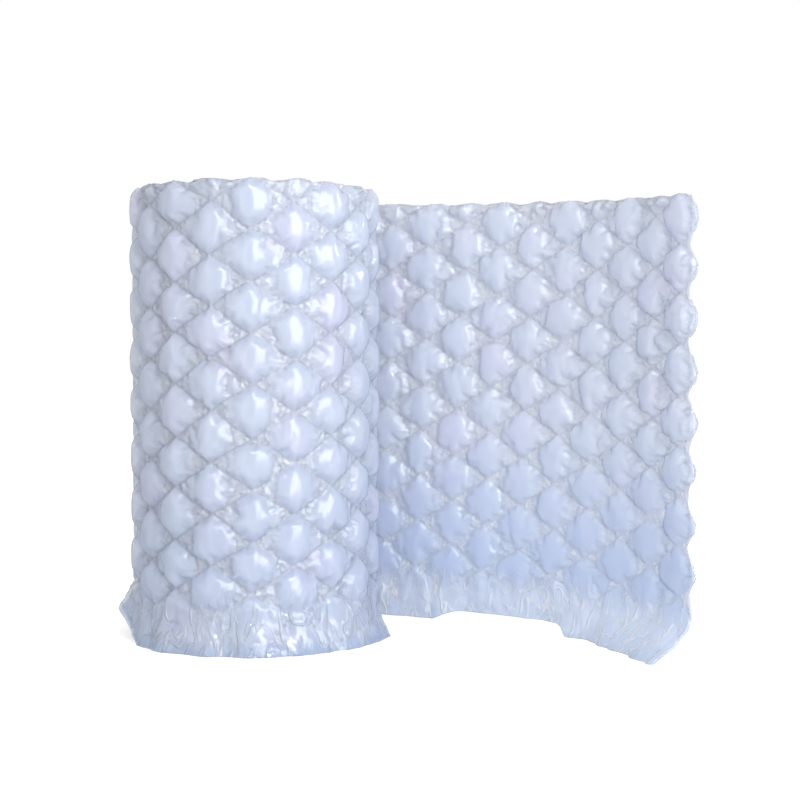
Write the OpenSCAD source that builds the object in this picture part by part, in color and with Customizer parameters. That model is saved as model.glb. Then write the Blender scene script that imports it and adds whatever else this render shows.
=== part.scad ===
// A roll of inflated bubble film, standing on its end, with a loose tail.
//
// The film is one web: two thin layers sealed together along zigzag seams, so that
// air fills columns of bubbles which nest into each other. Its upper edge is sealed.
// Its lower edge is an unsealed hem, which gathers and flares on the floor.
// The web follows one line in plan: a spiral for the roll, then a curve for the tail.
// Millimetres, +Z up, origin on the floor at the middle of the whole shape.

/* [Film] */
// Height from one bubble to the next in a column
bubble_pitch = 39.5; // [32:0.5:46]
// Length of web from one column of bubbles to the next
column_pitch = 32; // [28:0.5:38]
// Bubbles in a full column
bubble_rows = 8; // [5:1:9]
// Thickness of the web at a bubble
film_t = 18; // [14:0.5:20]
// Thickness of the web where its two layers are sealed together
seal_t = 1.6; // [1.2:0.1:2.4]
// Sideways swing of the zigzag seams to each side
seam_swing = 9; // [6:0.5:11]
// Height of the unsealed hem below the bubbles
hem_h = 46; // [34:1:60]
// Height from the middle of the highest bubble to the upper edge
top_h = 18; // [12:0.5:20]
// How far the upper edge dips at a seam
top_dip = 3; // [1:0.5:4]

/* [Roll] */
// Radius of the hollow in the middle of the roll
eye_r = 8; // [6:0.5:14]
// Turns of film on the roll
turns = 4.5; // [3.2:0.1:4.8]
// Air between one turn and the next
wrap_gap = 1.2; // [1.1:0.1:2]
// Depth of the quilting on the outside of the roll
roll_relief = 7; // [2:0.5:7]
// How far the hem of the outside turn flares away from the roll
roll_flare = 13; // [4:1:14]

/* [Tail] */
// Columns of bubbles on the film pulled off the roll
tail_columns = 12; // [8:1:14]
// Where the tail leaves the roll, in degrees round its axis from +X
leave_angle = 70; // [60:1:90]
// How far the tail turns towards the front by its free end, in degrees
tail_turn = 50; // [20:1:60]
// How far the upper corner of the free end sags
tail_sag = 14; // [0:1:20]
// How far the columns of the tail lean over, from hem to upper edge
tail_lean = 22; // [0:1:28]
// How far the hem spreads over the floor at the free end
tail_flare = 34; // [10:1:50]

/* [Hem] */
// Depth of the gathers in the hem, to each side
gather_d = 3; // [2:0.5:5]

/* [Hidden] */

// Rows of points up the web: four to a bubble, so that a seam bends on a row
row_h = bubble_pitch / 4;
last_row = 4 * bubble_rows - 2;
top_bubble_z = hem_h + last_row * row_h;
film_h = top_bubble_z + top_h;
edge_row_z = film_h - top_h / 3;
ROW_Z = concat(
    [film_h, edge_row_z],
    [for (k = [0:last_row]) top_bubble_z - k * row_h],
    [hem_h * 2 / 3, hem_h / 3, 0]
);
ROWS = len(ROW_Z);
FIRST = 2;
LAST = FIRST + last_row;
ALL_ROWS = [for (r = [0:ROWS - 1]) r];
// A seam needs only the rows that it bends on, and a plain wall its ends and edges
SEAM_ROWS = [for (r = ALL_ROWS) if (r <= FIRST || r >= LAST || (r - FIRST) % 2 == 0) r];
WALL_ROWS = [for (r = ALL_ROWS) if (r <= FIRST || r >= LAST) r];

// Swell of a column from a bubble's middle down to the next: middle, quarter, neck, quarter
SWELL = [1, 0.82, 0.45, 0.82];
side_swell = 0.8;
// The last rows fade into the channel that the air came through
FADE = [1, 0.8, 0.5];
edge_swell = 0.6;

// The spiral
pitch = film_t + wrap_gap;
outer_r = eye_r + film_t / 2 + pitch * turns;
spiral_len = PI * (outer_r * outer_r - pow(eye_r + film_t / 2, 2)) / pitch;
turn_len = PI * (2 * outer_r - pitch);
coarse_step = 18;

// Lines of points along the web, counted from the free end: four to a column on the
// tail, two on the outside turn, and one for each coarse_step on the turns inside it.
// The tail and the outside turn both end on a line up the middle of a column.
line_w = column_pitch / 4;
tail_lines = 4 * round(tail_columns) - 1;
tail_len = tail_lines * line_w;
turn_lines = 2 * ceil(turn_len / (4 * line_w));
fine_end = tail_len + turn_lines * 2 * line_w;
fine_end_angle = spiral_angle(fine_end - tail_len);
inner_lines = ceil((360 * turns - fine_end_angle) / coarse_step);
inner_step = (360 * turns - fine_end_angle) / inner_lines;
LINE_AT = concat(
    [for (i = [0:tail_lines]) i * line_w],
    [for (i = [1:turn_lines]) tail_len + i * 2 * line_w],
    [for (i = [1:inner_lines]) tail_len + spiral_run(fine_end_angle + i * inner_step)]
);
LINES = len(LINE_AT);
// Bubbles rise on the tail over this much web as it leaves the roll
rise_len = 2 * column_pitch;
// The zigzag of the first seam stops this short of the free end
end_margin = 1.5;

// Angle wound back from where the tail leaves, after a length of web
function spiral_r(run) = sqrt(max(outer_r * outer_r - pitch * run / PI, 1));
function spiral_angle(run) = (outer_r - spiral_r(run)) * 360 / pitch;
function spiral_run(angle) = let (r = outer_r - pitch * angle / 360)
    (outer_r * outer_r - r * r) * PI / pitch;

function mix(a, b, t) = a + (b - a) * t;
function ramp(t) = let (c = min(max(t, 0), 1)) c * c * (3 - 2 * c);

// Plan of the tail: its direction turns faster towards the free end
tail_steps = 48;
function heading(run) = leave_angle - 90 - tail_turn * pow(max(run, 0) / tail_len, 2);
leave_at = outer_r * [cos(leave_angle), sin(leave_angle)];
TAIL_PLAN = [
    for (i = 0, run = 0, at = leave_at;
         i <= tail_steps;
         at = at + tail_len / tail_steps
                 * [cos(heading(run + tail_len / tail_steps / 2)),
                    sin(heading(run + tail_len / tail_steps / 2))],
         run = run + tail_len / tail_steps,
         i = i + 1)
        [run, at.x, at.y]
];
TAIL_X = [for (p = TAIL_PLAN) [p[0], p[1]]];
TAIL_Y = [for (p = TAIL_PLAN) [p[0], p[2]]];

// A point in plan, at a length of web from the free end and a distance out from its middle
function plan(at, out) = at > tail_len
    ? let (angle = leave_angle + spiral_angle(at - tail_len))
        (spiral_r(at - tail_len) + out) * [cos(angle), sin(angle)]
    : let (run = tail_len - at, h = heading(run))
        [lookup(run, TAIL_X) - out * sin(h), lookup(run, TAIL_Y) + out * cos(h)];

// Lines 3, 7, 11 and so on run up the middles of columns, lines 1, 5, 9 up the seams
function is_tail(line) = line <= tail_lines;
function quarter(line) = is_tail(line) ? line % 4 : (tail_lines + 2 * (line - tail_lines)) % 4;
function column(line) = floor((is_tail(line) ? line : tail_lines + 2 * (line - tail_lines)) / 4);
function is_quilted(line) = line <= tail_lines + turn_lines;

// Zigzag of a seam at a row, and half of it on the lines beside the seam
function zigzag(row) = row < FIRST ? 0 : [1, 0, -1, 0][(row - FIRST) % 4];
function swing(line, row) = !is_quilted(line) || line == 0 || row > LAST || quarter(line) == 3 ? 0
    : let (c = column(line), share = quarter(line) == 1 ? 1 : 0.5)
        (c % 2 == 0 ? -1 : 1) * share * seam_swing * zigzag(row);

// Swell of the web at a line and row, from 0 on a seam to 1 in the middle of a bubble
function line_swell(line, row) = quarter(line) == 1 || line == 0 ? 0
    : let (c = column(line),
           near = quarter(line) == 0 ? c - 1 : c,
           k = row - FIRST + 4 + 2 * (near % 2),
           fade = row < LAST - 2 ? 1 : FADE[row - LAST + 2])
        SWELL[k % 4] * fade * (quarter(line) == 3 ? 1 : side_swell);

// Depth of the quilting on a side: side 0 faces out of the roll, side 1 into it
function relief(at, side) =
    let (full = (film_t - seal_t) / 2,
         off_roll = ramp((tail_len - at) / rise_len),
         covered = ramp((at - tail_len - turn_len * 0.8) / (turn_len * 0.18)))
    side == 1 ? full * off_roll : mix(roll_relief * (1 - covered), full, off_roll);

function half_t(line, row, side) =
    row == 0 || row > LAST ? seal_t / 2
    : let (r = max(row, FIRST),
           swell = is_quilted(line) ? line_swell(line, r) : 1,
           cushion = film_t / 2 - relief(LINE_AT[line], side) * (1 - swell),
           low = r < LAST - 1 ? 1 : [0.85, 0.6][r - LAST + 1])
        max(row == 1 ? mix(seal_t / 2, cushion, edge_swell) : cushion * low, seal_t / 2);

// How far the hem stands out from the line above it, at its lower edge
function hem_out(at) =
    let (bare = 1 - ramp((at - tail_len - turn_len * 0.72) / (turn_len * 0.2)),
         on_roll = ramp((at - tail_len * 0.8) / (tail_len * 0.2)),
         at_end = ramp(1 - at / (tail_len * 0.5)),
         gather = gather_d * cos(360 * at / column_pitch + 90 * (at > tail_len ? 1 : 0)))
    bare * (roll_flare * on_roll - tail_flare * at_end + gather);

function upper_dip(line) = !is_quilted(line) ? top_dip / 2
    : top_dip * (quarter(line) == 1 ? 1 : quarter(line) == 3 ? (column(line) % 2) / 2 : 0.5);

function surface_point(line, row, side) =
    let (at = LINE_AT[line],
         run = tail_len - at,
         along = is_tail(line) ? sin(180 * min(max(run / tail_len, 0), 1)) : 0,
         z_flat = ROW_Z[row] - (row == 0 ? upper_dip(line) : 0),
         lean = tail_lean * (z_flat / film_h - 0.5) * along,
         web = at + swing(line, row) - lean,
         kept = line == 0 ? at : line == 1 ? max(web, end_margin) : web,
         hem_share = row > LAST ? 1 - ROW_Z[row] / hem_h : 0,
         out = hem_out(at) * hem_share * hem_share
               + (side == 0 ? 1 : -1) * half_t(line, row, side),
         sag = tail_sag * max(run, 0) / tail_len * z_flat / film_h,
         p = plan(kept, out))
    [p.x, p.y, z_flat - sag];

// The web's skin: lines of points on each side, and triangles between neighbouring lines
function rows_of(line, side) =
    !(side == 0 ? is_quilted(line) : is_tail(line)) ? WALL_ROWS
    : quarter(line) == 1 && line > 1 ? SEAM_ROWS : ALL_ROWS;
function at_point(line, row, side) = (2 * line + side) * ROWS + row;
function turned(faces, over) = over ? [for (f = faces) [f[0], f[2], f[1]]] : faces;

// Triangles between a line and the one beside it, which has the same rows or fewer
function fan_strip(line, beside, side) =
    let (fine = rows_of(line, side), coarse = rows_of(beside, side))
    [
        for (i = [0:len(coarse) - 2])
            let (span = [for (r = fine) if (r >= coarse[i] && r <= coarse[i + 1]) r],
                 top = at_point(beside, coarse[i], side),
                 low = at_point(beside, coarse[i + 1], side))
            for (j = [0:len(span) - 1])
                j < len(span) - 1
                    ? [top, at_point(line, span[j + 1], side), at_point(line, span[j], side)]
                    : [top, low, at_point(line, span[j], side)]
    ];
function strip(line, side) =
    len(rows_of(line, side)) >= len(rows_of(line + 1, side))
        ? turned(fan_strip(line, line + 1, side), side == 1)
        : turned(fan_strip(line + 1, line, side), side == 0);

// Triangles across the web at its upper or lower edge
function edge_strip(line, row, over) = turned([
    [at_point(line, row, 0), at_point(line + 1, row, 0), at_point(line, row, 1)],
    [at_point(line + 1, row, 0), at_point(line + 1, row, 1), at_point(line, row, 1)]
], over);

// Triangles across the web at one of its ends
function end_strip(line, over) =
    let (rows = rows_of(line, 1))
    turned([
        for (i = [0:len(rows) - 2], half = [0, 1])
            half == 0
                ? [at_point(line, rows[i], 0), at_point(line, rows[i], 1),
                   at_point(line, rows[i + 1], 0)]
                : [at_point(line, rows[i + 1], 0), at_point(line, rows[i], 1),
                   at_point(line, rows[i + 1], 1)]
    ], over);

SKIN = [
    for (line = [0:LINES - 1], side = [0, 1], row = [0:ROWS - 1])
        surface_point(line, row, side)
];
function lowest(axis) = min([for (p = SKIN) p[axis]]);
function highest(axis) = max([for (p = SKIN) p[axis]]);
middle = [(lowest(0) + highest(0)) / 2, (lowest(1) + highest(1)) / 2, 0];

module bubble_film() {
    color([0.80, 0.85, 0.95])
        translate(-middle)
            polyhedron(
                points = SKIN,
                faces = concat(
                    [for (line = [0:LINES - 2], side = [0, 1]) each strip(line, side)],
                    [for (line = [0:LINES - 2]) each edge_strip(line, 0, true)],
                    [for (line = [0:LINES - 2]) each edge_strip(line, ROWS - 1, false)],
                    end_strip(0, true),
                    end_strip(LINES - 1, false)
                ),
                convexity = 10
            );
}

bubble_film();
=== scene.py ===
"""A roll of inflated bubble film with a loose tail, dressed for a studio render.

The film is one web of two thin layers, sealed together along zigzag seams, so
that air fills columns of bubbles. One sheet of it is inflated by cloth
simulation, flat. The sheet is then laid along the line that the web follows in
plan: a spiral for the roll and a curve for the tail. Metres, in the CAD's frame.
"""

from __future__ import annotations

import logging
import math
from dataclasses import dataclass, replace
from typing import Any

import bmesh
import bpy
import numpy as np
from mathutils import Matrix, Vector, noise

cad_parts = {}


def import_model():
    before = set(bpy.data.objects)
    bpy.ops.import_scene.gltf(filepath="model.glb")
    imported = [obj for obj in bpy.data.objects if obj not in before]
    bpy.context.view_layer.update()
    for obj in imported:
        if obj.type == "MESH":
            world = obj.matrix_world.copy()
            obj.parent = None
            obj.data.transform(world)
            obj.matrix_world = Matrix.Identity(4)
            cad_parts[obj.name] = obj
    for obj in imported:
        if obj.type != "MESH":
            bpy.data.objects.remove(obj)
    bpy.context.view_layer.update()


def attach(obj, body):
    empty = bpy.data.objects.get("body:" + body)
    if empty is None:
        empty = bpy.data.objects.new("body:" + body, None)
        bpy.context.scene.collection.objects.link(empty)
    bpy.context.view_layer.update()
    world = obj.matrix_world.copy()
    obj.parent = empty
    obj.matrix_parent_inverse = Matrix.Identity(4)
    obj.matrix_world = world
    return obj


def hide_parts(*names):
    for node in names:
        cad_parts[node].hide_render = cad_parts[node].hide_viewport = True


LOG = logging.getLogger("bubble_film")
MM = 0.001
Array = np.ndarray


def ramp(t: Array | float) -> Array:
    """Makes a smooth step.

    Args:
        t: The values.

    Returns:
        0 where t is 0 or less, 1 where it is 1 or more, and a smooth rise between.
    """
    c = np.clip(t, 0.0, 1.0)
    return c * c * (3.0 - 2.0 * c)


def hump(t: Array) -> Array:
    """Makes a smooth bump.

    Args:
        t: The values.

    Returns:
        1 where t is 0, and 0 from 1 and from -1 on.
    """
    return ramp(1 - np.abs(t))


@dataclass(frozen=True)
class Waves:
    """Smooth random waves over the web, between -1 and 1.

    Their sizes along the web and up it are in metres, and the seed sets them apart from others.
    """

    along: float
    up: float
    seed: float

    def at(self, x: Array, z: Array) -> Array:
        """The waves' heights.

        Args:
            x: Lengths along the web.
            z: Heights up it.

        Returns:
            One value for each point.
        """
        places = zip(x / self.along, z / self.up)
        return np.array([noise.noise(Vector((a, b, self.seed))) for a, b in places])


def srgb(code: str) -> tuple[float, float, float, float]:
    """Turns an sRGB hex colour to linear.

    Args:
        code: Six hex digits.

    Returns:
        Linear red, green and blue, and 1.
    """
    parts = [int(code[i : i + 2], 16) / 255.0 for i in (0, 2, 4)]
    linear = [c / 12.92 if c <= 0.04045 else ((c + 0.055) / 1.055) ** 2.4 for c in parts]
    return (linear[0], linear[1], linear[2], 1.0)


def add_node(
    tree: bpy.types.NodeTree,
    kind: str,
    settings: dict[str, Any] | None = None,
    inputs: dict[str | int, Any] | None = None,
) -> bpy.types.Node:
    """Adds a node with its settings and links.

    Args:
        tree: The node tree.
        kind: The shader node's type name, such as Bump.
        settings: Attributes of the node.
        inputs: Socket name or index to a value, or to an output socket to link.

    Returns:
        The new node.
    """
    node = tree.nodes.new("ShaderNode" + kind)
    for name, value in (settings or {}).items():
        setattr(node, name, value)
    for name, value in (inputs or {}).items():
        if isinstance(value, bpy.types.NodeSocket):
            tree.links.new(value, node.inputs[name])
        else:
            node.inputs[name].default_value = value
    return node


@dataclass(frozen=True)
class WebPath:
    """The line that the web follows in plan, and its rows and columns, as in the CAD source.

    Attributes:
        bubble_pitch: From one bubble to the next up a column.
        column_pitch: From one column to the next.
        neck_z: Height of the lowest seam crossings, above the unsealed hem.
        film_h: Height.
        film_t: Thickness over the bubbles.
        eye_r: Radius of the roll's empty middle.
        turns: Turns on the roll.
        wrap_gap: Gap between turns.
        roll_flare: How far the hem stands out round the roll's foot.
        leave_angle: Where on the roll the tail leaves it.
        tail_turn: Angle that the tail turns through.
        tail_columns: Columns of bubbles off the roll.
        tail_sag: How much lower the top is at the tail's end.
        tail_lean: How far the tail's top leans along the web.
        tail_flare: How far the hem swings back under the tail's end.
        flare_to: Share of the outside turn after which the hem is covered.
        flare_fade: Share of it over which the flare fades.
        roll_axis: The winding axis in plan.
    """

    bubble_pitch: float = 39.5 * MM
    column_pitch: float = 32.0 * MM
    neck_z: float = 46.0 * MM
    film_h: float = 360.25 * MM
    film_t: float = 18.0 * MM
    eye_r: float = 8.0 * MM
    turns: float = 4.5
    wrap_gap: float = 1.2 * MM
    roll_flare: float = 13.0 * MM
    leave_angle: float = math.radians(70)
    tail_turn: float = math.radians(50)
    tail_columns: int = 12
    tail_sag: float = 14.0 * MM
    tail_lean: float = 22.0 * MM
    tail_flare: float = 34.0 * MM
    flare_to: float = 0.72
    flare_fade: float = 0.2
    roll_axis: tuple[float, float] = (-108.003 * MM, 5.506 * MM)

    @property
    def pitch(self) -> float:
        """Distance from one turn to the next."""
        return self.film_t + self.wrap_gap

    @property
    def outer_r(self) -> float:
        """Radius of the web's middle where the tail leaves the roll."""
        return self.eye_r + self.film_t / 2 + self.pitch * self.turns

    @property
    def tail_len(self) -> float:
        """Length of web that is off the roll."""
        return (self.tail_columns - 0.25) * self.column_pitch

    @property
    def total_len(self) -> float:
        """Length of the whole web, tail and roll."""
        inner_r = self.eye_r + self.film_t / 2
        return self.tail_len + math.pi * (self.outer_r**2 - inner_r**2) / self.pitch

    @property
    def turn_len(self) -> float:
        """Length of the outside turn."""
        return math.pi * (2 * self.outer_r - self.pitch)

    def heading(self, run: Array) -> Array:
        """Direction of the tail in plan.

        Args:
            run: Lengths of web from the roll.

        Returns:
            The directions' angles.
        """
        share = np.maximum(run, 0.0) / self.tail_len
        return self.leave_angle - math.pi / 2 - self.tail_turn * share**2

    def plan(self, at: Array, out: Array) -> tuple[Array, Array]:
        """Places points of the web in plan.

        Args:
            at: Lengths of web from the free end.
            out: Distances out from the middle of the web.

        Returns:
            The points' X and Y.
        """
        spare = 20 * MM
        run = np.linspace(-spare, self.tail_len + spare, 400)
        h = self.heading((run[1:] + run[:-1]) / 2)
        gap = run[1] - run[0]
        x = np.concatenate([[0.0], np.cumsum(np.cos(h) * gap)])
        y = np.concatenate([[0.0], np.cumsum(np.sin(h) * gap)])
        x += self.outer_r * math.cos(self.leave_angle) - np.interp(0.0, run, x)
        y += self.outer_r * math.sin(self.leave_angle) - np.interp(0.0, run, y)
        off = self.tail_len - at
        h_at = self.heading(off)
        tail_x = np.interp(off, run, x) - out * np.sin(h_at)
        tail_y = np.interp(off, run, y) + out * np.cos(h_at)
        wound = np.maximum(at - self.tail_len, 0.0)
        r = np.sqrt(np.maximum(self.outer_r**2 - self.pitch * wound / math.pi, 1e-6))
        angle = self.leave_angle + (self.outer_r - r) * 2 * math.pi / self.pitch
        roll_x = (r + out) * np.cos(angle)
        roll_y = (r + out) * np.sin(angle)
        on_roll = at > self.tail_len
        px = np.where(on_roll, roll_x, tail_x) + self.roll_axis[0]
        py = np.where(on_roll, roll_y, tail_y) + self.roll_axis[1]
        return px, py

    def hem_out(self, at: Array) -> Array:
        """How far the hem's lower edge stands out from the line above it.

        Args:
            at: Lengths of web from the free end.

        Returns:
            The distances.
        """
        covered = self.tail_len + self.turn_len * self.flare_to
        bare = 1 - ramp((at - covered) / (self.turn_len * self.flare_fade))
        on_roll = ramp((at - self.tail_len * 0.8) / (self.tail_len * 0.2))
        at_end = ramp(1 - at / (self.tail_len * 0.5))
        return bare * (self.roll_flare * on_roll - self.tail_flare * at_end)

    def lay(self, points: Array) -> Array:
        """Lays points of the flat web along its line.

        Args:
            points: Rows of (length of web from the free end, distance out, height).

        Returns:
            Rows of X, Y and Z.
        """
        at, out, z = points[:, 0], points[:, 1], points[:, 2]
        run = np.clip((self.tail_len - at) / self.tail_len, 0.0, 1.0)
        lean = self.tail_lean * (z / self.film_h - 0.5) * np.sin(math.pi * run)
        share = np.clip(1 - z / self.neck_z, 0.0, 1.0)
        x, y = self.plan(at - lean, out + self.hem_out(at) * share**2)
        sag = self.tail_sag * run * z / self.film_h
        return np.column_stack([x, y, z - sag])


@dataclass(frozen=True)
class Quilt:
    """One flat sheet of a layer of film, with its seams, inflated by cloth simulation.

    Attributes:
        path: The line that the web follows.
        columns: Columns of bubbles on the sheet.
        cuts: Faces along each side of a bubble.
        neck: Faces that a neck between two bubbles is wide.
        end_trim: Where the web's free end is cut.
        loose_z: Height below which nothing is sealed.
        excess: Share by which the film grows as it is blown.
        scale: Times larger than life in the simulation.
        frames: Frames of the simulation.
        hem_wave: Height of the hem's waves before it.
        puffed_rise: Rise of a plain bubble.
    """

    path: WebPath
    columns: int = 30
    cuts: int = 16
    neck: int = 1
    end_trim: float = -4.0 * MM
    loose_z: float = 30.0 * MM
    excess: float = 0.13
    scale: float = 10.0
    frames: int = 22
    hem_wave: float = 1.2 * MM
    puffed_rise: float = 8.0 * MM

    def hem_share(self, z: Array) -> Array:
        """How far a point is in the hem, where nothing is sealed.

        Args:
            z: Heights up the web.

        Returns:
            1 on the hem, and 0 from the lowest bubbles up.
        """
        return 1 - ramp((z - 20 * MM) / (30 * MM))

    def lattice(self, x: Array, z: Array) -> tuple[Array, Array]:
        """Counts of seam lines crossed, along the two diagonals.

        Args:
            x: Lengths along the web.
            z: Heights up it.

        Returns:
            The counts at each point, whose whole numbers lie on the seams.
        """
        a, b = self.path.column_pitch, self.path.bubble_pitch
        across = (x - a / 2) / a
        up = 2 * (z - self.path.neck_z) / b
        return (up + across) / 2, (up - across) / 2

    def grid(self) -> bmesh.types.BMesh:
        """Builds a flat diamond grid whose lines run along the seams, trimmed to the web's height.

        Returns:
            The sheet, in the plane y = 0, with its faces' normals along +Y.
        """
        a, b = self.path.column_pitch, self.path.bubble_pitch
        rows = math.ceil(self.path.film_h / b) + 1
        cells = math.ceil((self.columns + 2) / 2) + rows
        left = math.ceil(self.columns / 2) + 1
        steps = cells * self.cuts
        bm = bmesh.new()
        bmesh.ops.create_grid(bm, x_segments=steps, y_segments=steps, size=0.5)
        for v in bm.verts:
            u = round((v.co.x + 0.5) * steps) / self.cuts - 3
            w = round((v.co.y + 0.5) * steps) / self.cuts - left - 2
            v.co = Vector((a * (u - w + 0.5), 0.0, self.path.neck_z + b * (u + w) / 2))
        outside = []
        for f in bm.faces:
            c = f.calc_center_median()
            u, w = self.lattice(c.x, c.z)
            column = math.floor(u) - math.floor(w)
            if not (-2 <= column < self.columns and -0.01 < c.z < self.path.film_h + 0.01):
                outside.append(f)
        bmesh.ops.delete(bm, geom=outside, context="FACES")
        for co, no in (
            ((0, 0, 0), (0, 0, -1)),
            ((0, 0, self.path.film_h), (0, 0, 1)),
            ((self.end_trim, 0, 0), (-1, 0, 0)),
        ):
            bmesh.ops.bisect_plane(
                bm,
                geom=bm.verts[:] + bm.edges[:] + bm.faces[:],
                dist=1e-6,
                plane_co=co,
                plane_no=no,
                clear_outer=True,
            )
        bmesh.ops.recalc_face_normals(bm, faces=bm.faces)
        if sum(f.normal.y for f in bm.faces) < 0:
            bmesh.ops.reverse_faces(bm, faces=bm.faces[:])
        return bm

    def held(self, x: Array, z: Array) -> Array:
        """Finds where the sheet is sealed to the other layer, so that it can't inflate.

        Args:
            x: Lengths along the web.
            z: Heights up it.

        Returns:
            True at the points that are held.
        """
        u, w = self.lattice(x, z)
        n = self.cuts
        i, j = np.round(u * n).astype(int), np.round(w * n).astype(int)
        on_first = (i % n == 0) & (np.abs(u * n - i) < 0.01)
        on_second = (j % n == 0) & (np.abs(w * n - j) < 0.01)
        di, dj = (i + n // 2) % n - n // 2, (j + n // 2) % n - n // 2
        near = (np.abs(di) <= self.neck) & (np.abs(dj) <= self.neck)
        open_neck = near & (np.abs(di - dj) < self.neck)
        corner = near & (np.abs(di - dj) == self.neck) & (np.abs(di + dj) <= self.neck)
        column = np.floor(u + 1e-6) - np.floor(w + 1e-6)
        beyond = column < 0
        end = x < self.end_trim + 0.5 * MM
        top = z > self.path.film_h - 0.5 * MM
        seam = ((on_first | on_second) & ~open_neck) | corner
        return ((seam | beyond) & (z > self.loose_z)) | end | top

    def inflate(self, bm: bmesh.types.BMesh) -> Array:
        """Blows the sheet up off its seams, and lets its hem buckle.

        Args:
            bm: The flat sheet.

        Returns:
            Rows of (length along the web, distance out, height), one for each vertex.
        """
        mesh = bpy.data.meshes.new("sheet")
        bm.to_mesh(mesh)
        flat = np.empty(len(mesh.vertices) * 3)
        mesh.vertices.foreach_get("co", flat)
        flat = flat.reshape(-1, 3)
        held = self.held(flat[:, 0], flat[:, 2])
        rng = np.random.default_rng(7)
        start = flat.copy()
        hem = self.hem_share(flat[:, 2])
        wave = np.sin(flat[:, 0] / (21 * MM) * 2 * math.pi)
        wave += 0.7 * np.sin(flat[:, 0] / (33.7 * MM) * 2 * math.pi + 1.3)
        uneven = 0.3 * MM + rng.uniform(0, 0.25 * MM, len(flat))
        start[:, 1] = np.where(held, 0.0, uneven) + hem * wave * self.hem_wave
        mesh.vertices.foreach_set("co", (start * self.scale).ravel())
        obj = bpy.data.objects.new("sheet", mesh)
        bpy.context.scene.collection.objects.link(obj)
        pins = obj.vertex_groups.new(name="held")
        pins.add([int(i) for i in np.nonzero(held)[0]], 1.0, "REPLACE")
        air = obj.vertex_groups.new(name="air")
        bands = 10
        for band in range(bands + 1):
            rows = np.nonzero(np.round((1 - hem) * bands) == band)[0]
            air.add([int(i) for i in rows], band / bands, "REPLACE")
        cloth = obj.modifiers.new("film", "CLOTH")
        s = cloth.settings
        s.quality = 6
        s.mass = 0.12
        s.tension_stiffness = s.compression_stiffness = 25.0
        s.shear_stiffness = 12.0
        s.bending_stiffness = 0.02
        s.tension_damping = s.compression_damping = s.shear_damping = 8.0
        s.bending_damping = 0.6
        s.air_damping = 2.0
        s.vertex_group_mass = "held"
        s.use_pressure = True
        s.uniform_pressure_force = 9.0
        s.vertex_group_pressure = "air"
        s.shrink_min = -self.excess
        s.effector_weights.gravity = 0.0
        cloth.collision_settings.use_collision = False
        cloth.point_cache.frame_start = 1
        cloth.point_cache.frame_end = self.frames
        scene = bpy.context.scene
        for frame in range(1, self.frames + 1):
            scene.frame_set(frame)
        shown = obj.evaluated_get(bpy.context.evaluated_depsgraph_get())
        result = np.empty(len(mesh.vertices) * 3)
        shown.data.vertices.foreach_get("co", result)
        scene.frame_set(1)
        bpy.data.objects.remove(obj)
        bpy.data.meshes.remove(mesh)
        return result.reshape(-1, 3) / self.scale

    def puffed(self, flat: Array, held: Array) -> Array:
        """Gives the sheet plain pillow-shaped bubbles.

        Args:
            flat: Rows of (length along the web, distance out, height).
            held: True at the points that are sealed.

        Returns:
            The rows with the bubbles' rise as the distance out.
        """
        u, w = self.lattice(flat[:, 0], flat[:, 2])
        dome = np.sqrt(np.abs(np.sin(math.pi * u) * np.sin(math.pi * w)))
        result = flat.copy()
        above = ramp((flat[:, 2] - 24 * MM) / (24 * MM))
        result[:, 1] = np.where(held, 0.0, dome * self.puffed_rise * above)
        return result


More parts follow.
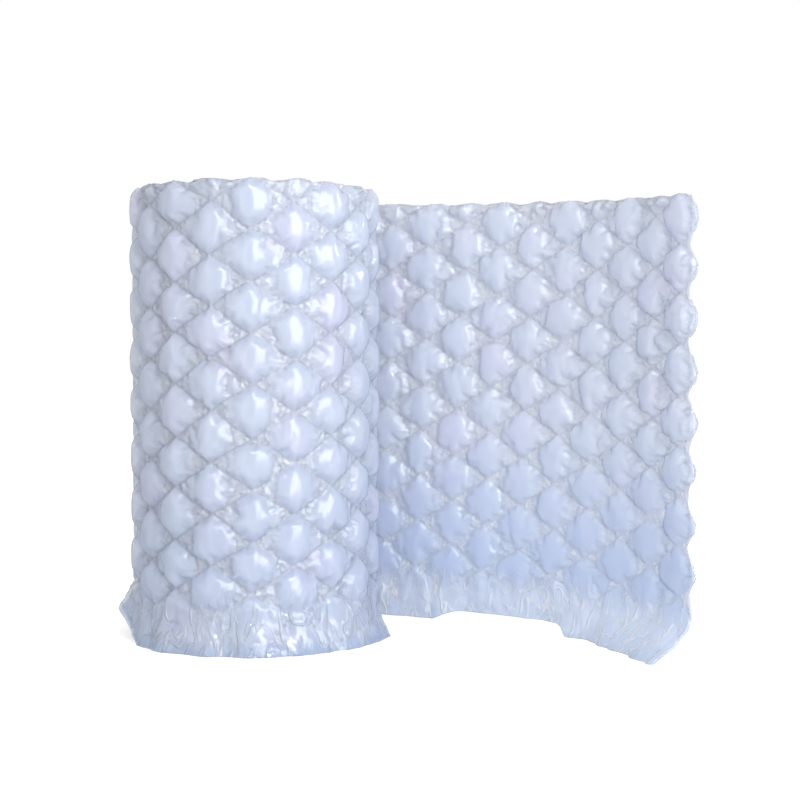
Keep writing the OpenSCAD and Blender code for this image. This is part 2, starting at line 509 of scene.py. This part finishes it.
@dataclass(frozen=True)
class FilmFinish:
    """Clear polyethylene film, blown and slightly hazy, with a blue cast where it is thick.

    Its surface is smooth and slack, so it glints on every crease. Fine creases fan
    out of a bubble's rim, its corners are crumpled, and the hem has upright pleats.
    Its colour also holds painted shade, a darker blue towards its foot, and painted
    highlights on the hem's sharp creases and on some corner facets.

    Attributes:
        name: The material's name.
        colour: Colour of most of the film.
        shade_colour: Painted shade: the darker blue that the film's colour takes towards its foot.
        rosy: Colour of the rosy patches.
        seam: Colour of the seals.
        glint_colour: Colour of the painted highlights on sharp hem creases and some corner facets.
        roughness: Roughness of the taut domes.
        crisp: Roughness of slack film.
        ior: Index of refraction, high so that it glints as many thin layers do.
        milky: How much light scatters inside.
        alpha: Opacity of the bubbles.
        hem_alpha: Opacity of the hem.
        crumple: Size of the facets in a bubble's corners.
        streak: Width of the hem's pleats.
        cell_unit: Length that one unit of the map of a bubble stands for.
        scatter_d: Distance that light scatters.
        bump_d: Height of the deepest creases.
        seam_tint: How much of the seam's colour shows.
        fan_count: How fine the creases are that fan out of the rim.
        fan_lift: Their height, as a share of bump_d.
        facet_lift: The corner facets' height, likewise.
        pleat_lift: The hem pleats' height, likewise.
        rim: Where the fan starts and is full, in units of the bubble's map.
        corners: Where the corners start and are full, likewise.
        glint_chance: Chance numbers at which corner facets start to get a painted highlight and get it
            fully.
        pleat_glint: How strong the painted highlight on the hem's creases is.
        facet_glint: How strong the painted highlight on the corners' facets is.
    """

    name: str = "polyethylene_film"
    colour: str = "D9E2F5"
    shade_colour: str = "BCD0F3"
    rosy: str = "E0DDF8"
    seam: str = "C0CCEA"
    glint_colour: str = "EFF5FF"
    roughness: float = 0.17
    crisp: float = 0.12
    ior: float = 2.2
    milky: float = 0.5
    alpha: float = 0.64
    hem_alpha: float = 0.52
    crumple: float = 4.5 * MM
    streak: float = 13.2 * MM
    cell_unit: float = 20.0 * MM
    scatter_d: float = 9.0 * MM
    bump_d: float = 1.6 * MM
    seam_tint: float = 0.3
    fan_count: float = 6.0
    fan_lift: float = 0.4
    facet_lift: float = 0.9
    pleat_lift: float = 0.8
    rim: tuple[float, float] = (0.42, 0.75)
    corners: tuple[float, float] = (0.75, 1.1)
    glint_chance: tuple[float, float] = (0.62, 0.95)
    pleat_glint: float = 0.55
    facet_glint: float = 0.7

    def creases(self, tree: bpy.types.NodeTree, place: Any, hem: Any) -> tuple[Any, Any, Any]:
        """Builds the nodes for the film's fine creases and for the painted highlights on them.

        Args:
            tree: The node tree.
            place: Socket of the point's place on the object.
            hem: Socket that is 1 on the hem.

        Returns:
            A socket with the height, one that is 1 on the taut domes and 0 on slack film, and
            one with the share of painted highlight that whitens the colour, on sharp hem creases and
            some corner facets.
        """

        def maths(operation: str, *values: Any) -> Any:
            """A Math node's result."""
            return add_node(tree, "Math", {"operation": operation}, dict(enumerate(values))).outputs[0]

        def span(value: Any, low: float, high: float) -> Any:
            """A smooth step of value from 0 at low to 1 at high."""
            return add_node(
                tree,
                "MapRange",
                {"interpolation_type": "SMOOTHSTEP"},
                {"Value": value, "From Min": low, "From Max": high},
            ).outputs[0]

        cell = add_node(tree, "UVMap", {"uv_map": "cell"}).outputs[0]
        chance = add_node(tree, "UVMap", {"uv_map": "chance"}).outputs[0]
        parts = add_node(tree, "SeparateXYZ", None, {0: cell})
        luck = add_node(tree, "SeparateXYZ", None, {0: chance})
        radius = add_node(tree, "VectorMath", {"operation": "LENGTH"}, {0: cell}).outputs[1]
        heading = add_node(tree, "VectorMath", {"operation": "NORMALIZE"}, {0: cell}).outputs[0]
        bits = add_node(tree, "SeparateXYZ", None, {0: heading})
        apart = maths("MULTIPLY", luck.outputs[0], 40.0)
        fan_place = {0: bits.outputs[0], 1: bits.outputs[1], 2: apart}
        fan_at = add_node(tree, "CombineXYZ", None, fan_place).outputs[0]
        fan = add_node(
            tree, "TexNoise", None, {"Vector": fan_at, "Scale": self.fan_count, "Detail": 1.0}
        ).outputs[0]
        rim = maths("MULTIPLY", span(radius, *self.rim), maths("SUBTRACT", 1.0, hem))
        shifted = add_node(tree, "VectorMath", {"operation": "ADD"}, {0: cell, 1: chance}).outputs[0]
        facets = add_node(
            tree,
            "TexVoronoi",
            {"voronoi_dimensions": "2D"},
            {"Vector": shifted, "Scale": self.cell_unit / self.crumple},
        )
        flat_bits = add_node(tree, "SeparateXYZ", None, {0: facets.outputs["Color"]})
        corner = span(maths("ABSOLUTE", parts.outputs[0]), *self.corners)
        long_place = add_node(
            tree, "Mapping", None, {"Vector": place, "Scale": (1.0, 1.0, 0.3)}
        ).outputs[0]
        streaks = add_node(
            tree,
            "TexNoise",
            None,
            {"Vector": long_place, "Scale": 1 / self.streak, "Detail": 1.0, "Distortion": 0.8},
        ).outputs[0]
        slope = maths("ABSOLUTE", maths("SUBTRACT", streaks, 0.5))
        sharp = span(slope, 0.05, 0.0)
        pleats = maths("ADD", maths("MULTIPLY", slope, 2.0), sharp)
        low = maths("POWER", hem, 0.5)
        height = maths("MULTIPLY", fan, maths("MULTIPLY", rim, self.fan_lift))
        crumpled = maths("MULTIPLY", facets.outputs[0], maths("MULTIPLY", corner, self.facet_lift))
        height = maths("ADD", height, crumpled)
        gathers = maths("MULTIPLY", pleats, maths("MULTIPLY", low, self.pleat_lift))
        height = maths("ADD", height, gathers)
        # Painted highlights: the colour of the hem's sharp creases and of some corner facets, chosen
        # at random, is whitened.
        bright = maths(
            "MULTIPLY", span(flat_bits.outputs[0], *self.glint_chance), maths("SUBTRACT", 1.0, hem)
        )
        pale = maths(
            "MAXIMUM",
            maths("MULTIPLY", maths("MULTIPLY", sharp, low), self.pleat_glint),
            maths("MULTIPLY", maths("MULTIPLY", bright, corner), self.facet_glint),
        )
        return height, maths("SUBTRACT", 1.0, maths("MAXIMUM", corner, hem)), pale

    def material(self) -> bpy.types.Material:
        """Builds the material.

        Returns:
            The material, with its bump and colour from the film's own attributes.
        """
        mat = bpy.data.materials.new(self.name)
        mat.use_nodes = True
        tree = mat.node_tree
        tree.nodes.clear()

        def stored(name: str) -> Any:
            """The socket of one of the mesh's own attributes."""
            return add_node(tree, "Attribute", {"attribute_name": name}).outputs["Fac"]

        def blend(share: Any, first: Any, second: str) -> Any:
            """A colour socket that goes from the first colour to the second with share."""
            return add_node(
                tree, "Mix", {"data_type": "RGBA"}, {0: share, 6: first, 7: srgb(second)}
            ).outputs[2]

        place = add_node(tree, "TexCoord").outputs["Object"]
        seam = stored("seam")
        hem = stored("hem")
        line = add_node(
            tree,
            "MapRange",
            {"interpolation_type": "SMOOTHSTEP"},
            {"Value": seam, "From Min": 0.45, "To Max": self.seam_tint},
        ).outputs[0]
        tint = blend(stored("blush"), srgb(self.colour), self.rosy)
        # Painted shade: the colour turns a darker blue towards the film's foot.
        tint = blend(stored("shade_share"), tint, self.shade_colour)
        tint = blend(line, tint, self.seam)
        clear = add_node(
            tree,
            "MapRange",
            None,
            {"Value": hem, "To Min": self.alpha, "To Max": self.hem_alpha},
        ).outputs[0]
        clear = add_node(
            tree, "Math", {"operation": "MAXIMUM"}, {0: clear, 1: stored("inside")}
        ).outputs[0]
        height, taut, pale = self.creases(tree, place, hem)
        # Painted highlights: the colour is whitened on sharp hem creases and on some corner facets.
        tint = blend(pale, tint, self.glint_colour)
        bump = add_node(tree, "Bump", None, {"Height": height, "Distance": self.bump_d}).outputs[0]
        shine = add_node(
            tree,
            "MapRange",
            None,
            {"Value": taut, "To Min": self.crisp, "To Max": self.roughness},
        ).outputs[0]
        shader = add_node(
            tree,
            "BsdfPrincipled",
            None,
            {
                "Base Color": tint,
                "Roughness": shine,
                "IOR": self.ior,
                "Subsurface Weight": self.milky,
                "Subsurface Scale": self.scatter_d,
                "Subsurface Radius": (1.0, 1.0, 1.0),
                "Alpha": clear,
                "Normal": bump,
            },
        )
        add_node(tree, "OutputMaterial", None, {"Surface": shader.outputs[0]})
        return mat


@dataclass(frozen=True)
class BubbleFilm:
    """The web of bubble film: its tail, the outside turn of the roll, and the turns inside.

    A sheet's rows are points of (length along the web, distance out, height).

    Attributes:
        path: The line that the web follows.
        quilt: The sheet that is inflated.
        finish: The film's material.
        layer_gap: Distance between the two layers along a seam.
        fullness: How much the simulated bubbles are raised.
        dome_r: How far from a bubble's middle its dome starts to end.
        corner_r: How far only the slack corner is left.
        dome_w: Half the width of an oval dome on the tail.
        dome_h: Half its height.
        facet_slope: Slope of the facets of a bubble on the roll.
        ridge_w: Half the width of the ridge between them.
        oval_power: The oval dome's section, where less is squarer.
        faceted: Share of the facets in a bubble on the roll.
        blown_share: Share of the simulated shape in a dome.
        foot_slack: How much flatter the bubbles are at the tail's foot.
        ridge_mm: Height of corner_waves, in millimetres.
        crease_mm: Height of corner_creases, likewise.
        wave_mm: Height of dome_waves, likewise.
        corner_waves: Ridges in a bubble's corners.
        corner_creases: Fine creases there.
        dome_waves: Soft waves on the domes.
        top_waves: Unevenness of the top edge.
        end_waves: Unevenness of the free end.
        drift_waves: How the seams wander, along the web and up it.
        drift_fine: The finer part of that.
        patches: Rosy patches.
        pleats: Gathers of the hem.
        pleats_fine: Finer gathers.
        swell: How the hem swells.
        laps: How it laps along the web.
        crush: Its folds on the floor.
        edge_waves: Ripples of the loose edges.
        gap_waves: How the hem's layers part.
        top_dip: Depth of the scallops along the top.
        end_dip: Depth of the notches in the free end.
        wander: How far the seams wander.
        lap_d: Depth of the hem's laps.
        tip_at: Place of the hem's left tip, as a share of the outside turn.
        tip_w: Half its width.
        tip_lift: How far it is lifted.
        tip_out: How far it stands out.
        tucked_run: Lengths of web from the roll where the hem is tucked up.
        tucked_lift: How far it is.
        flare_at: Place of the hem's right flare, like tip_at.
        flare_w: Half its width.
        flare_out: How far it stands out.
        hem_gap: Half the gap between the hem's layers.
    """

    path: WebPath
    quilt: Quilt
    finish: FilmFinish
    layer_gap: float = 0.5 * MM
    fullness: float = 1.3
    dome_r: float = 15.0 * MM
    corner_r: float = 23.0 * MM
    dome_w: float = 21.5 * MM
    dome_h: float = 18.5 * MM
    facet_slope: float = 0.48
    ridge_w: float = 4.0 * MM
    oval_power: float = 0.42
    faceted: float = 0.8
    blown_share: float = 0.35
    foot_slack: float = 0.4
    ridge_mm: float = 1.2
    crease_mm: float = 0.8
    wave_mm: float = 0.35
    corner_waves: Waves = Waves(7 * MM, 7 * MM, 4.2)
    corner_creases: Waves = Waves(3.6 * MM, 3.6 * MM, 8.8)
    dome_waves: Waves = Waves(14 * MM, 14 * MM, 5.9)
    top_waves: Waves = Waves(15 * MM, 1.0, 3.1)
    end_waves: Waves = Waves(1.0, 21 * MM, 5.5)
    drift_waves: tuple[Waves, Waves] = (
        Waves(30 * MM, 30 * MM, 1.7),
        Waves(30 * MM, 30 * MM, 6.3),
    )
    drift_fine: tuple[Waves, Waves] = (
        Waves(9 * MM, 9 * MM, 0.4),
        Waves(9 * MM, 9 * MM, 3.6),
    )
    patches: Waves = Waves(45 * MM, 45 * MM, 2.9)
    pleats: Waves = Waves(8.5 * MM, 30 * MM, 2.2)
    pleats_fine: Waves = Waves(3.6 * MM, 22 * MM, 7.7)
    swell: Waves = Waves(23 * MM, 60 * MM, 5.1)
    laps: Waves = Waves(31 * MM, 90 * MM, 9.4)
    crush: Waves = Waves(13 * MM, 11 * MM, 6.6)
    edge_waves: Waves = Waves(7 * MM, 9 * MM, 9.0)
    gap_waves: Waves = Waves(17 * MM, 25 * MM, 3.9)
    top_dip: float = 2.0 * MM
    end_dip: float = 7.0 * MM
    wander: float = 2.2 * MM
    lap_d: float = 6.0 * MM
    tip_at: float = 0.34
    tip_w: float = 48.0 * MM
    tip_lift: float = 24.0 * MM
    tip_out: float = 12.0 * MM
    tucked_run: tuple[float, float] = (128.0 * MM, 238.0 * MM)
    tucked_lift: float = 8.0 * MM
    flare_at: float = 0.79
    flare_w: float = 60.0 * MM
    flare_out: float = 6.0 * MM
    hem_gap: float = 1.2 * MM

    def cell_place(self, rest: Array) -> tuple[Array, Array]:
        """Distances of points from the middle of their own bubble.

        Args:
            rest: Rows of the flat sheet.

        Returns:
            The distances along the web and up it.
        """
        a, b = self.path.column_pitch, self.path.bubble_pitch
        u, w = self.quilt.lattice(rest[:, 0], rest[:, 2])
        pu, pw = u - np.floor(u) - 0.5, w - np.floor(w) - 0.5
        return a * (pu - pw), b * (pu + pw) / 2

    def risen(self, points: Array, rest: Array) -> Array:
        """Heights of a layer above the seams: a dome in each bubble, with slack crumpled corners.

        Args:
            points: Rows of the inflated sheet.
            rest: Rows of the flat sheet.

        Returns:
            The heights.
        """
        across, up = self.cell_place(rest)
        a, b, full = self.path.column_pitch, self.path.bubble_pitch, self.path.film_t / 2
        dome = 1 - ramp((np.abs(across) - self.dome_r) / (self.corner_r - self.dome_r))
        oval = np.clip(1 - (across / self.dome_w) ** 2 - (up / self.dome_h) ** 2, 0.0, 1.0)
        from_seam = (1 - np.abs(across) / a - 2 * np.abs(up) / b) * a * b / math.hypot(2 * a, b)
        slopes = full - self.facet_slope * np.maximum(np.hypot(across, 2 * MM) - self.ridge_w, 0.0)
        soft = 0.7 * MM
        facets = -soft * np.logaddexp(-slopes / soft, -1.2 * from_seam / soft)
        x, z = rest[:, 0], rest[:, 2]
        on_roll = ramp((x - self.path.tail_len) / (2 * a))
        share = on_roll * self.faceted
        plain = full * oval**self.oval_power * (1 - share) + np.maximum(facets, 0.0) * share
        blown = np.maximum(points[:, 1], 0.0) * self.fullness
        foot = (1 - on_roll) * (1 - ramp((z - 70 * MM) / (130 * MM)))
        mixed = blown * self.blown_share + plain * (1 - self.blown_share)
        taut = np.minimum(mixed, blown * 1.8) * (1 - self.foot_slack * foot)
        rise = np.where(x > 0, taut * dome + blown * self.blown_share * (1 - dome), blown)
        ridges = 1 - 2 * np.abs(self.corner_waves.at(x, z))
        fine = self.corner_creases.at(x, z)
        slack = (1 - dome) * ramp(rise / (1.0 * MM))
        waves = self.dome_waves.at(x, z) * ramp(rise / (3.0 * MM))
        crumpled = slack * (self.ridge_mm * ridges + self.crease_mm * fine)
        return rise + (crumpled + self.wave_mm * waves) * MM

    def worn(self, points: Array, rest: Array) -> Array:
        """Takes the inflated layer off its exact lattice.

        Its top and end are scalloped, and its seams wander.

        Args:
            points: Rows of the inflated sheet.
            rest: Rows of the flat sheet.

        Returns:
            The new rows. Both layers move alike, so a seam stays shut.
        """
        a, b = self.path.column_pitch, self.path.bubble_pitch
        x, z = rest[:, 0], rest[:, 2]
        moved = points.copy()
        edge = 14 * MM
        high = ramp((z - self.path.film_h + edge) / edge)
        dips = 1 - np.abs(np.sin(math.pi * x / a)) ** 0.6
        jitter = self.top_waves.at(x, 0 * x)
        moved[:, 2] -= high * (self.top_dip * dips + 1.6 * MM * (jitter + 0.6))
        end = 1 - ramp((x - self.quilt.end_trim) / (15 * MM))
        notch = 0.5 + 0.5 * np.cos(2 * math.pi * (z - self.path.neck_z) / b)
        notch = notch + 0.35 * self.end_waves.at(0 * x, z)
        moved[:, 0] += end * self.end_dip * notch * ramp((z - 20 * MM) / (20 * MM))
        drift_x, drift_z = (
            broad.at(x, z) + 0.3 * fine.at(x, z)
            for broad, fine in zip(self.drift_waves, self.drift_fine)
        )
        moved[:, 0] += drift_x * self.wander * (1 - end)
        moved[:, 2] += drift_z * self.wander * (1 - high) * ramp(z / (30 * MM))
        low = self.quilt.hem_share(z)
        moved[:, 0] = moved[:, 0] * (1 - low) + x * low
        moved[:, 2] = moved[:, 2] * (1 - low) + z * low
        return moved

    def shade_share(self, rest: Array) -> Array:
        """How much painted shade, a darker blue, the film's colour gets. It grows towards the foot of
        the tail, where the film is also slacker, and along the roll's foot.

        Args:
            rest: Rows of the flat sheet.

        Returns:
            A share from 0 to 1 for each point.
        """
        off_roll = 1 - ramp((rest[:, 0] - self.path.tail_len * 0.95) / (60 * MM))
        low = 1 - ramp((rest[:, 2] - 30 * MM) / (170 * MM))
        foot = 1 - ramp(rest[:, 2] / (14 * MM))
        on_tail = 0.1 + 0.9 * low
        on_roll = 0.25 * low + 0.6 * foot
        return np.clip(off_roll * on_tail + (1 - off_roll) * on_roll, 0.0, 1.0)

    def blush(self, rest: Array) -> Array:
        """How rosy the film looks, in soft patches.

        Args:
            rest: Rows of the flat sheet.

        Returns:
            A share from 0 to 0.45 for each point.
        """
        return 0.45 * np.clip(2.0 * self.patches.at(rest[:, 0], rest[:, 2]), 0.0, 1.0)

    def gathered(self, rest: Array) -> Array:
        """Movement of the hem off its plain line.

        It has fine gathers below the bubbles, and laps that spread on the floor.

        Args:
            rest: Rows of the flat sheet.

        Returns:
            Rows of movement along the web, out and up.
        """
        x, z = rest[:, 0], rest[:, 2]
        depth = np.clip(1 - z / self.path.neck_z, 0.0, 1.0)
        fan = x + 6 * MM * np.sin(2 * math.pi * x / self.path.column_pitch) * depth
        sharp = 1 - 2 * np.abs(self.pleats.at(fan, z))
        pleats = sharp + 0.5 * self.pleats_fine.at(fan, z)
        pleats = pleats * hump((z - 28 * MM) / (34 * MM)) * 2.3 * MM
        crush = 1 - 2 * np.abs(self.crush.at(x, z))
        out = pleats + depth * self.lap_d * self.swell.at(x, z)
        out += ramp(depth * 2) * 1.3 * MM * crush
        along = depth * self.lap_d * 1.8 * self.laps.at(x, z)
        run = self.path.tail_len - x
        first, last = self.tucked_run
        tucked = ramp((run - first) / (22 * MM)) * (1 - ramp((run - last) / (14 * MM)))
        up = tucked * depth * self.tucked_lift
        left = self.path.tail_len + self.path.turn_len * self.tip_at
        tip = hump((x - left) / self.tip_w)
        up += tip * depth * self.tip_lift
        out += tip * depth * self.tip_out
        right = self.path.tail_len + self.path.turn_len * self.flare_at
        out += hump((x - right) / self.flare_w) * depth * self.flare_out
        return np.column_stack([along, out, up])

    def body(
        self,
        name: str,
        flat: bmesh.types.BMesh,
        points: Array,
        rest: Array,
        material: bpy.types.Material,
    ) -> bpy.types.Object:
        """Makes a closed stretch of web from one inflated layer.

        It is that layer, its mirror image and the edges between.

        Args:
            name: The piece's name.
            flat: The sheet's mesh, whose vertices are in the order of points.
            points: Rows of the inflated sheet.
            rest: Rows of the flat sheet.
            material: The film's material.

        Returns:
            The new object.
        """
        bm = flat.copy()
        bm.verts.ensure_lookup_table()
        x, z = rest[:, 0], rest[:, 2]
        hem = self.quilt.hem_share(z)
        moved = self.gathered(rest)
        worn = self.worn(points, rest) + moved
        rise = self.risen(points, rest) * (1 - hem)
        loose = (1 - ramp((x - self.quilt.end_trim) / (12 * MM))) * 1.6 * MM
        loose += ramp((z - self.path.film_h + 8 * MM) / (8 * MM)) * 1.0 * MM
        shared = moved[:, 1] + loose * self.edge_waves.at(x, z)
        half = self.layer_gap / 2 + hem * self.hem_gap * (1 + self.gap_waves.at(x, z))
        front, back = worn.copy(), worn.copy()
        front[:, 1] = rise + half + shared
        back[:, 1] = -rise - half + shared
        front[:, 2] = np.maximum(front[:, 2], 0.0)
        back[:, 2] = np.maximum(back[:, 2], 0.0)
        seam = self.quilt.held(x, z) * (1 - hem)
        seam = seam * (z < self.path.film_h - 0.5 * MM) * (x > 8 * MM)
        count = len(bm.verts)
        geom = bmesh.ops.duplicate(bm, geom=bm.verts[:] + bm.edges[:] + bm.faces[:])
        bm.verts.ensure_lookup_table()
        bm.verts.index_update()
        twin = {geom["vert_map"][v].index: v.index for v in bm.verts[:count]}
        source = np.array([i if i < count else twin[i] for i in range(len(bm.verts))])
        laid_front, laid_back = self.path.lay(front), self.path.lay(back)
        back_faces = [f for f in geom["geom"] if isinstance(f, bmesh.types.BMFace)]
        rims = [e for e in bm.edges if e.is_boundary and e.verts[0].index < count]
        rims_back = [geom["edge_map"][e] for e in rims]
        for v in bm.verts:
            v.co = (laid_front if v.index < count else laid_back)[source[v.index]]
        bmesh.ops.reverse_faces(bm, faces=back_faces)
        bmesh.ops.bridge_loops(bm, edges=rims + rims_back)
        bmesh.ops.recalc_face_normals(bm, faces=bm.faces)
        mesh = bpy.data.meshes.new(name)
        bm.to_mesh(mesh)
        bm.free()
        second = (np.arange(len(source)) >= count).astype(float)
        inside = second * ramp((rest[source, 0] - self.path.tail_len) / (20 * MM))
        # One of these attributes carries painted shade, a darker blue towards the film's foot.
        for label, values in (
            ("seam", seam[source]),
            ("hem", hem[source]),
            ("shade_share", self.shade_share(rest)[source]),
            ("blush", self.blush(rest)[source]),
            ("inside", inside),
        ):
            layer = mesh.attributes.new(label, "FLOAT", "POINT")
            layer.data.foreach_set("value", values.astype(np.float32))
        self.map_cells(mesh, rest[source])
        mesh.polygons.foreach_set("use_smooth", [True] * len(mesh.polygons))
        mesh.materials.append(material)
        obj = bpy.data.objects.new(name, mesh)
        bpy.context.scene.collection.objects.link(obj)
        return obj

    def map_cells(self, mesh: bpy.types.Mesh, rest: Array) -> None:
        """Gives the mesh UV maps of each point's place in its bubble, and of the bubble's chances.

        Args:
            mesh: The film's mesh.
            rest: Rows of the flat sheet, one for each vertex.
        """
        a, b = self.path.column_pitch, self.path.bubble_pitch
        corners = np.empty(len(mesh.loops), dtype=np.int32)
        mesh.loops.foreach_get("vertex_index", corners)
        totals = np.empty(len(mesh.polygons), dtype=np.int32)
        mesh.polygons.foreach_get("loop_total", totals)
        face = np.repeat(np.arange(len(totals)), totals)
        u, w = self.quilt.lattice(rest[corners, 0], rest[corners, 2])
        mid_u = np.bincount(face, u) / totals
        mid_w = np.bincount(face, w) / totals
        cell_u, cell_w = np.floor(mid_u)[face], np.floor(mid_w)[face]
        pu, pw = u - cell_u - 0.5, w - cell_w - 0.5
        place = np.column_stack([a * (pu - pw), b * (pu + pw) / 2]) / self.finish.cell_unit
        mixed = (cell_u * 12.9898 + cell_w * 78.233, cell_u * 39.346 + cell_w * 11.135)
        chance = np.sin(np.column_stack(mixed)) * 43758.5453 % 1.0
        for label, values in (("cell", place), ("chance", chance)):
            layer = mesh.uv_layers.new(name=label)
            layer.data.foreach_set("uv", values.astype(np.float32).ravel())

    def build(self) -> list[bpy.types.Object]:
        """Builds the web's pieces.

        Returns:
            The new objects.
        """
        material = self.finish.material()
        sheet = self.quilt.grid()
        sheet.verts.ensure_lookup_table()
        rest = np.array([v.co[:] for v in sheet.verts])
        points = self.quilt.inflate(sheet)
        LOG.info("sheet: %d vertices, rises %.1f mm", len(rest), points[:, 1].max() / MM)
        pieces = []
        tail = self.path.tail_columns
        for name, first, last in (("tail", -2, tail), ("outer_turn", tail, self.quilt.columns)):
            part, index = self.columns_of(self.quilt, sheet, first, last)
            pieces.append(self.body(name, part, points[index], rest[index], material))
        stacked = replace(
            self.finish, name="polyethylene_film_stacked", alpha=1.0, hem_alpha=1.0, milky=0.0
        )
        pieces.append(self.inner_turns(stacked.material()))
        return pieces

    def inner_turns(self, material: bpy.types.Material) -> bpy.types.Object:
        """Builds the turns that the outside one hides, with plain bubbles.

        Args:
            material: The film's material, opaque.

        Returns:
            The new object.
        """
        pitch = self.path.column_pitch
        shift = self.quilt.columns * pitch
        count = 2 * math.floor((self.path.total_len - shift) / pitch / 2)
        coarse = Quilt(self.path, columns=count, cuts=6, neck=1)
        sheet = coarse.grid()
        part, _ = self.columns_of(coarse, sheet, 0, count)
        rest = np.array([v.co[:] for v in part.verts])
        points = coarse.puffed(rest, coarse.held(rest[:, 0], rest[:, 2]))
        points[:, 0] += shift
        rest[:, 0] += shift
        return self.body("inner_turns", part, points, rest, material)

    def columns_of(
        self, quilt: Quilt, sheet: bmesh.types.BMesh, first: int, last: int
    ) -> tuple[bmesh.types.BMesh, Array]:
        """A copy of some columns of a sheet, with each vertex's place in the whole one.

        Args:
            quilt: The quilt that the sheet is of.
            sheet: The whole sheet.
            first: The first column.
            last: The column after the last.

        Returns:
            The copy, and for each of its vertices the index in the whole sheet.
        """
        part = sheet.copy()
        part.verts.ensure_lookup_table()
        origin = part.verts.layers.int.new("origin")
        for i, v in enumerate(part.verts):
            v[origin] = i
        outside = []
        for f in part.faces:
            c = f.calc_center_median()
            u, w = quilt.lattice(c.x, c.z)
            if not first <= math.floor(u) - math.floor(w) < last:
                outside.append(f)
        bmesh.ops.delete(part, geom=outside, context="FACES")
        part.verts.ensure_lookup_table()
        index = np.array([v[origin] for v in part.verts])
        part.verts.layers.int.remove(origin)
        return part, index


@dataclass(frozen=True)
class Studio:
    """A pale studio: floor, world, soft lamps and the camera at the photograph's angle.

    Attributes:
        axis: The roll's axis in plan.
        distance: Distance of the camera in front of it.
        offset: How far the camera is to the right of it.
        height: Height of the camera.
        pitch_down: Angle that the camera looks down by.
        lens: The camera's focal length in millimetres.
        floor_glow: How much the floor shines, as the camera sees it.
        surround: Strength of the light from all round.
    """

    axis: tuple[float, float]
    distance: float = 1.174
    offset: float = 0.113
    height: float = 0.2266
    pitch_down: float = math.radians(1.8)
    lens: float = 64.6
    floor_glow: float = 0.6
    surround: float = 0.63

    def camera(self) -> None:
        """Sets the camera where the photograph was taken from."""
        data = bpy.data.cameras.new("camera")
        data.lens = self.lens
        data.sensor_width = 36.0
        obj = bpy.data.objects.new("camera", data)
        bpy.context.scene.collection.objects.link(obj)
        obj.location = (self.axis[0] + self.offset, self.axis[1] - self.distance, self.height)
        obj.rotation_euler = (math.pi / 2 - self.pitch_down, 0.0, 0.0)
        bpy.context.scene.camera = obj

    def floor(self) -> None:
        """Lays a white floor that keeps the object's shadow."""
        bm = bmesh.new()
        bmesh.ops.create_grid(bm, x_segments=1, y_segments=1, size=6.0)
        mesh = bpy.data.meshes.new("floor")
        bm.to_mesh(mesh)
        bm.free()
        obj = bpy.data.objects.new("floor", mesh)
        bpy.context.scene.collection.objects.link(obj)
        mat = bpy.data.materials.new("white_paper_sweep")
        mat.use_nodes = True
        tree = mat.node_tree
        tree.nodes.clear()
        seen = add_node(tree, "LightPath").outputs["Is Camera Ray"]
        paper = add_node(tree, "BsdfDiffuse", None, {"Color": srgb("E6E6E6")})
        white = srgb("FFFFFF")
        glow = add_node(tree, "Emission", None, {"Color": white, "Strength": self.floor_glow})
        both = add_node(tree, "AddShader", None, {0: paper.outputs[0], 1: glow.outputs[0]})
        shown = add_node(tree, "MixShader", None, {0: seen, 1: paper.outputs[0], 2: both.outputs[0]})
        add_node(tree, "OutputMaterial", None, {"Surface": shown.outputs[0]})
        mesh.materials.append(mat)

    def world(self) -> None:
        """A pale even surround, which the camera sees as white."""
        world = bpy.data.worlds.new("studio")
        bpy.context.scene.world = world
        world.use_nodes = True
        tree = world.node_tree
        tree.nodes.clear()
        path = add_node(tree, "LightPath")
        strength = add_node(
            tree,
            "Mix",
            {"data_type": "FLOAT"},
            {0: path.outputs["Is Camera Ray"], 2: self.surround, 3: 1.0},
        ).outputs[0]
        white = srgb("FFFFFF")
        back = add_node(tree, "Background", None, {"Color": white, "Strength": strength})
        add_node(tree, "OutputWorld", None, {"Surface": back.outputs[0]})

    def lamp(
        self,
        name: str,
        azimuth: float,
        elevation: float,
        size: tuple[float, float],
        power: float,
        reach: float = 1.6,
    ) -> None:
        """Adds a softbox that faces the object.

        Args:
            name: The lamp's name.
            azimuth: Degrees to the right of the camera's side.
            elevation: Degrees up.
            size: Width and height in metres.
            power: Watts.
            reach: Distance from the object in metres.
        """
        data = bpy.data.lights.new(name, "AREA")
        data.shape = "RECTANGLE"
        data.size, data.size_y = size
        data.energy = power
        obj = bpy.data.objects.new(name, data)
        bpy.context.scene.collection.objects.link(obj)
        az, el = math.radians(azimuth), math.radians(elevation)
        away = Vector((math.sin(az) * math.cos(el), -math.cos(az) * math.cos(el), math.sin(el)))
        obj.location = Vector((0.0, 0.0, 0.17)) + away * reach
        obj.rotation_euler = (-away).to_track_quat("-Z", "Y").to_euler()

    def build(self) -> None:
        """Builds the whole studio."""
        self.camera()
        self.floor()
        self.world()
        self.lamp("softbox_right", 31, 13, (1.3, 1.3), 14.2)
        self.lamp("softbox_left", -34, 16, (0.8, 1.3), 1.6)
        self.lamp("strip_side", 88, 10, (0.14, 1.2), 6.0)
        self.lamp("strip_front", 12, 44, (0.7, 0.12), 3.5)
        bpy.context.scene.view_settings.view_transform = "Standard"


def main() -> None:
    """Builds the film and the studio."""
    logging.basicConfig(level=logging.INFO, format="%(message)s")
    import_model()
    path = WebPath()
    Studio(axis=path.roll_axis).build()
    pieces = BubbleFilm(path, Quilt(path), FilmFinish()).build()
    for piece in pieces:
        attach(piece, "root")
        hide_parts("bubble_film")
        LOG.info("%s: %d faces", piece.name, len(piece.data.polygons))


if __name__ == "__main__":
    main()
